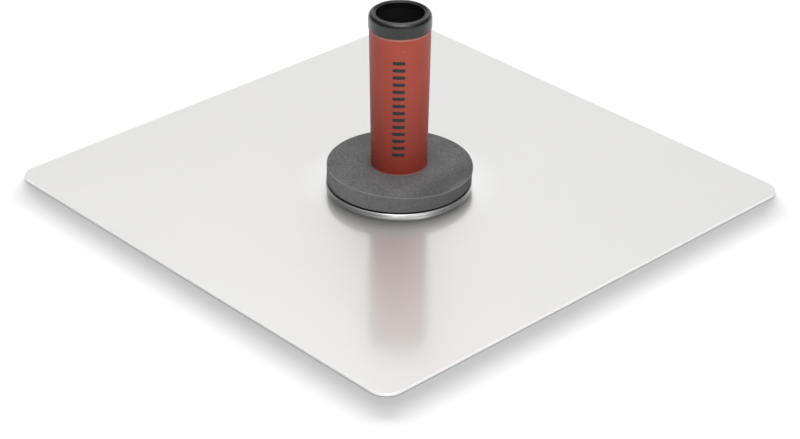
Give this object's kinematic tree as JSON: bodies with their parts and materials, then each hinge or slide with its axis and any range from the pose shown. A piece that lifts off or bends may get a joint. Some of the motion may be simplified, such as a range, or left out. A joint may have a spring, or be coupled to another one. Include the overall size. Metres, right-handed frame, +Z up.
{
  "type": "plasterer's hawk",
  "caption": "Square aluminium plasterer's hawk, load face down, with a tapered soft-grip hollow handle bolted on and a foam knuckle pad round its foot.",
  "frame": {"origin": "centre of the board's load face, which is the bottom", "axes": "+Z up the handle; +X and +Y square to the board's sides"},
  "size_m": [0.3302, 0.3302, 0.1156],
  "materials": {
    "board_metal": "satin",
    "disc_metal": "satin",
    "rivet_metal": "satin",
    "boss_metal": "satin",
    "core_plastic": "matte",
    "grip_soft": "satin",
    "tread_soft": "matte",
    "ring_plastic": "satin",
    "pad_foam": "matte",
    "fixing_metal": "satin"
  },
  "bodies": {
    "board": {"blade": "board_metal", "backing_disc": "disc_metal", "disc_rivets": "rivet_metal", "threaded_boss": "boss_metal"},
    "handle": {"handle_core": "core_plastic", "grip_sleeve": "grip_soft", "grip_tread": "tread_soft", "end_ring": "ring_plastic", "foam_pad": "pad_foam"},
    "washers": {"flat_washer": "fixing_metal", "spring_washer": "fixing_metal"},
    "bolt": {"handle_bolt": "fixing_metal"}
  },
  "joints": [
    {"name": "handle_lift", "type": "slide", "parent": "board", "child": "handle", "axis": [0, 0, 1], "range_m": [0, 0.03]},
    {"name": "bolt_travel", "type": "slide", "parent": "handle", "child": "washers", "axis": [0, 0, 1], "range_m": [0, 0.01125]},
    {"name": "bolt_turn", "type": "hinge", "parent": "washers", "child": "bolt", "pos_m": [0, 0, 0.0259], "axis": [0, 0, 1], "range_deg": [0, 3240]}
  ],
  "couplings": [
    {"joint": "bolt_travel", "follows": "bolt_turn", "m_per_rad": 0.00019894}
  ]
}
